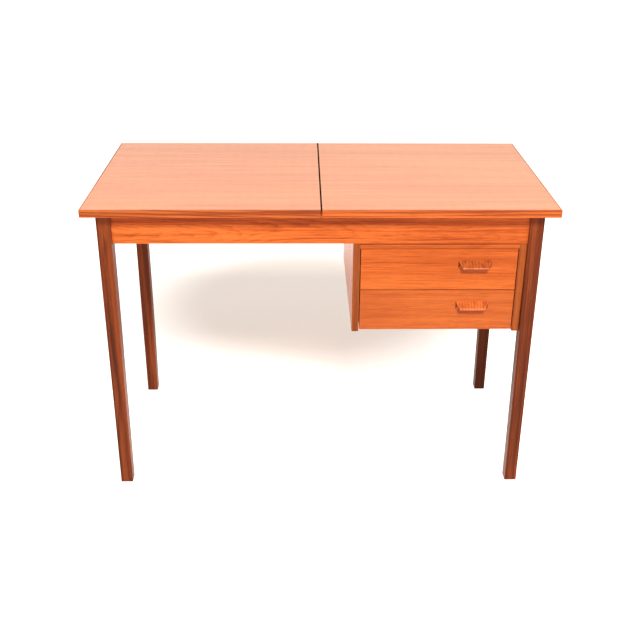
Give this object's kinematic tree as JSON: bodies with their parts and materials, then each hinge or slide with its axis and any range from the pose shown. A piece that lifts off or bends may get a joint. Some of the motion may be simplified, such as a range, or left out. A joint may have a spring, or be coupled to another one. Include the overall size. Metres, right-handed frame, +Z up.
{
  "type": "sewing table",
  "caption": "Wooden sewing table on tapered legs: one leaf of the top folds over to open a shallow machine well beside a hung pedestal of drawers with lip pulls.",
  "frame": {"origin": "on the floor, under the middle of the top", "axes": "+X to the table's right along its width, +Y to its back, +Z up; the drawers open towards -Y"},
  "size_m": [1.05, 0.55, 0.7317],
  "materials": {
    "teak_veneer": "satin oiled teak veneer",
    "teak_solid": "satin oiled solid teak",
    "dark_wood": "satin lacquered dark hardwood",
    "beech": "plain planed beech",
    "plywood": "plain birch plywood",
    "bronzed_metal": "dark bronzed",
    "steel": "plain steel",
    "glide_plastic": "worn brown plastic"
  },
  "bodies": {
    "table_frame": {"back_apron": "teak_veneer", "back_panel_pins": "steel", "batten_screws": "steel", "cleat_screws": "steel", "corner_block_screws": "steel", "corner_blocks": "beech", "cross_rail": "beech", "front_apron": "teak_veneer", "hinge_fixed_plate": "bronzed_metal", "hinge_fixed_screws": "bronzed_metal", "hinge_pin": "bronzed_metal", "leaf_cleats": "beech", "left_apron": "teak_veneer", "leg_back_left": "dark_wood", "leg_back_right": "dark_wood", "leg_front_left": "dark_wood", "leg_front_right": "dark_wood", "leg_glides": "glide_plastic", "lower_drawer_runners": "beech", "pedestal_back": "teak_veneer", "pedestal_front_rail": "teak_solid", "pedestal_left_lipping": "teak_solid", "pedestal_left_side": "teak_veneer", "pedestal_leg_screws": "steel", "pedestal_rear_rail": "beech", "pedestal_right_lipping": "teak_solid", "pedestal_right_side": "teak_veneer", "rail_dowels": "beech", "right_apron": "teak_veneer", "right_leaf_back_lipping": "teak_solid", "right_leaf_end_lipping": "teak_solid", "right_leaf_front_lipping": "teak_solid", "right_leaf_panel": "teak_veneer", "runner_screws": "steel", "upper_drawer_runners": "beech", "well_battens": "beech", "well_floor": "plywood"},
    "left_leaf": {"left_leaf_panel": "teak_veneer", "left_leaf_front_lipping": "teak_solid", "left_leaf_back_lipping": "teak_solid", "left_leaf_end_lipping": "teak_solid", "hinge_leaf_plate": "bronzed_metal", "hinge_leaf_screws": "bronzed_metal"},
    "upper_drawer": {"upper_drawer_front": "teak_veneer", "upper_drawer_left_side": "beech", "upper_drawer_right_side": "beech", "upper_drawer_back": "beech", "upper_drawer_bottom": "plywood", "upper_drawer_pull": "teak_solid", "upper_drawer_pull_screws": "steel"},
    "lower_drawer": {"lower_drawer_front": "teak_veneer", "lower_drawer_left_side": "beech", "lower_drawer_right_side": "beech", "lower_drawer_back": "beech", "lower_drawer_bottom": "plywood", "lower_drawer_pull": "teak_solid", "lower_drawer_pull_screws": "steel"}
  },
  "joints": [
    {"name": "leaf_fold", "type": "hinge", "parent": "table_frame", "child": "left_leaf", "pos_m": [0, 0, 0.7302], "axis": [0, 1, 0], "range_deg": [0, 180]},
    {"name": "upper_drawer_slide", "type": "slide", "parent": "table_frame", "child": "upper_drawer", "axis": [0, -1, 0], "range_m": [0, 0.32]},
    {"name": "lower_drawer_slide", "type": "slide", "parent": "table_frame", "child": "lower_drawer", "axis": [0, -1, 0], "range_m": [0, 0.32]}
  ]
}
